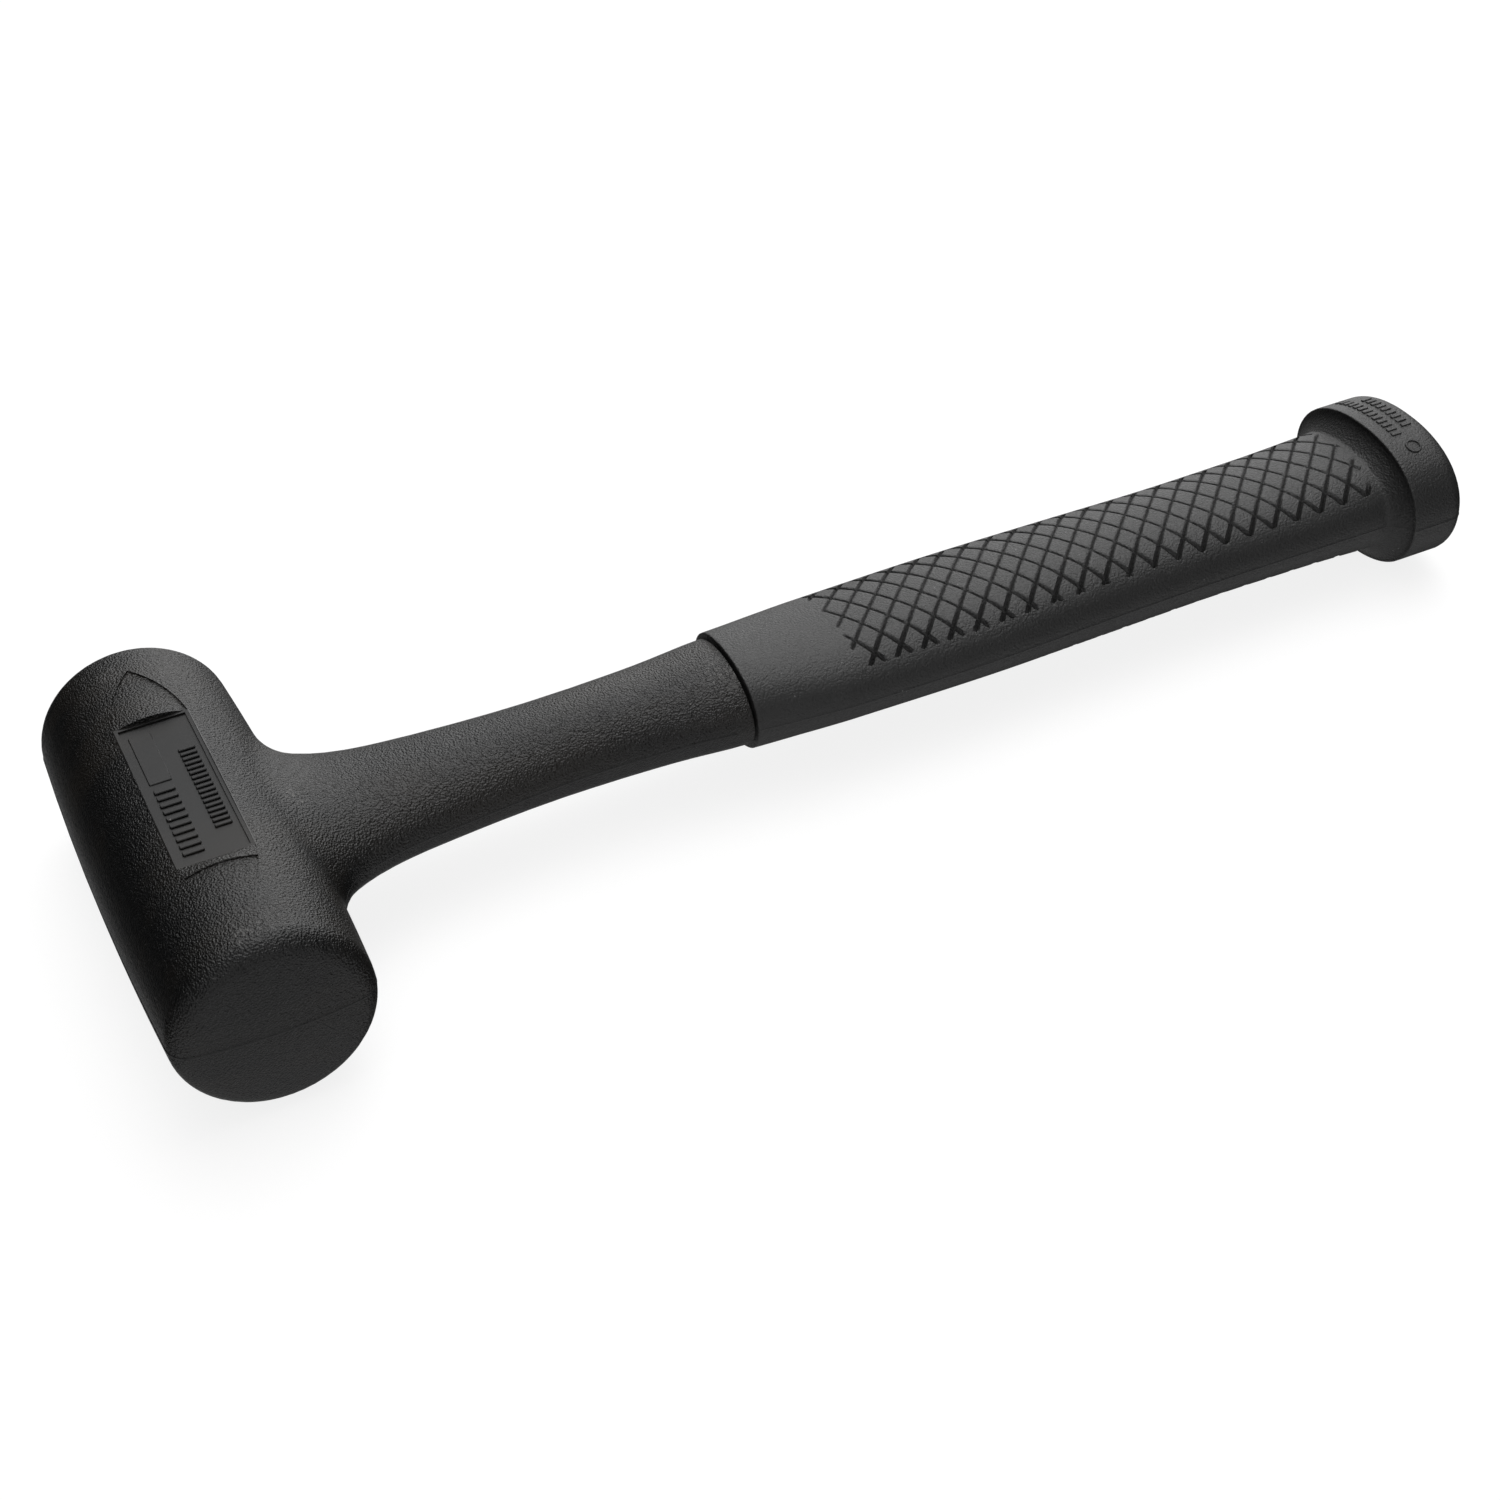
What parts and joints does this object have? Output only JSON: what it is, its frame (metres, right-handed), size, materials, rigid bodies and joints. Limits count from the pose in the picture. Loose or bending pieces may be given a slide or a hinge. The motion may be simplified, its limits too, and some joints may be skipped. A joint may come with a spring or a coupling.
{
  "type": "dead blow mallet",
  "caption": "One-piece soft-faced dead blow mallet with a shot-filled canister inside the head, a steel rod in the handle and an oval diamond-pattern rubber grip with a flanged butt.",
  "frame": {"origin": "middle of the head, where the head's axis crosses the handle's axis", "axes": "+X along the handle to the butt, +Y along the head to its far face, +Z out of one flank; the mould's parting plane is Z = 0"},
  "size_m": [0.2362, 0.0796, 0.0312],
  "materials": {
    "casing_polyurethane": "black cast polyurethane with a fine pebbled mould grain, smooth in the marking panel and along the parting line",
    "grip_rubber": "matte black rubber with a raised diamond pattern",
    "canister_steel": "drawn steel tube, lightly oiled",
    "cap_steel": "turned steel",
    "weld_metal": "weld bead with heat tint",
    "spring_steel": "blued spring steel",
    "rod_steel": "cold drawn steel bar",
    "shot_steel": "polished steel balls with a film of oil"
  },
  "bodies": {
    "mallet": {"casing": "casing_polyurethane", "grip_sleeve": "grip_rubber", "canister_tube": "canister_steel", "canister_cap_near": "cap_steel", "canister_cap_far": "cap_steel", "cap_weld_near": "weld_metal", "cap_weld_far": "weld_metal", "rod_boss": "cap_steel", "boss_weld": "weld_metal", "roll_pin": "spring_steel", "handle_rod": "rod_steel", "rod_anchor_collar": "rod_steel"},
    "shot_charge": {"steel_shot": "shot_steel"}
  },
  "joints": [
    {"name": "shot_slide", "type": "slide", "parent": "mallet", "child": "shot_charge", "axis": [0, 1, 0], "range_m": [-0.0049, 0.0049]}
  ]
}
